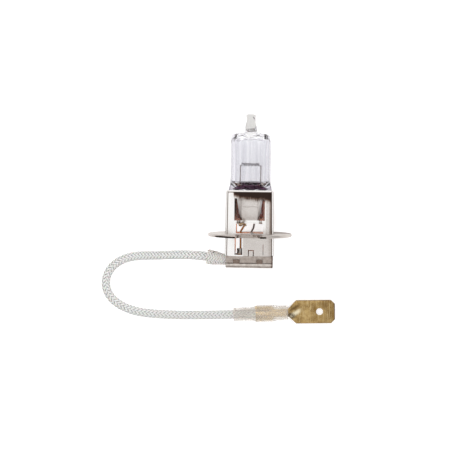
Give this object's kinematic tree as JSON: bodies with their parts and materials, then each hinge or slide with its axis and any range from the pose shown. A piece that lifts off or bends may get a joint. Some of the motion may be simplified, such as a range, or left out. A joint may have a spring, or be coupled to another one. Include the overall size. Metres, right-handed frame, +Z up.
{
  "type": "automotive headlight bulb",
  "caption": "Halogen headlamp bulb on a round prefocus flange, with a sheet-metal holder, a transverse filament and a braided lead that ends in a brass blade.",
  "frame": {"origin": "centre of the flange's glass-side face, where it crosses the lamp's axis", "axes": "+Y along the lamp's axis from the base to the glass tip, +Z up through the flange's locating notch, +X to the right of someone who looks down on the notch with the tip away from them"},
  "size_m": [0.0638, 0.0561, 0.0216],
  "materials": {
    "quartz": "gloss",
    "tungsten": "satin",
    "molybdenum": "satin",
    "copper": "satin",
    "nickel_plate": "gloss",
    "lead_braid": "matte",
    "outer_braid": "matte",
    "brass": "satin",
    "clear_vinyl": "satin"
  },
  "bodies": {
    "root": {"quartz_envelope": "quartz", "filament_coil": "tungsten", "support_post_left": "molybdenum", "support_post_right": "molybdenum", "seal_foil_left": "molybdenum", "seal_foil_right": "molybdenum", "live_pin": "copper", "ground_pin": "molybdenum", "outer_bracket": "nickel_plate", "front_plate": "nickel_plate", "rear_plate": "nickel_plate", "mounting_flange": "nickel_plate", "shoe_band": "nickel_plate", "shoe_channel": "nickel_plate", "splice_ferrule": "nickel_plate", "lead_conductor": "copper", "lead_sleeve": "lead_braid", "short_outer_sleeve": "outer_braid", "blade_terminal": "brass", "terminal_cover": "clear_vinyl"}
  },
  "joints": []
}
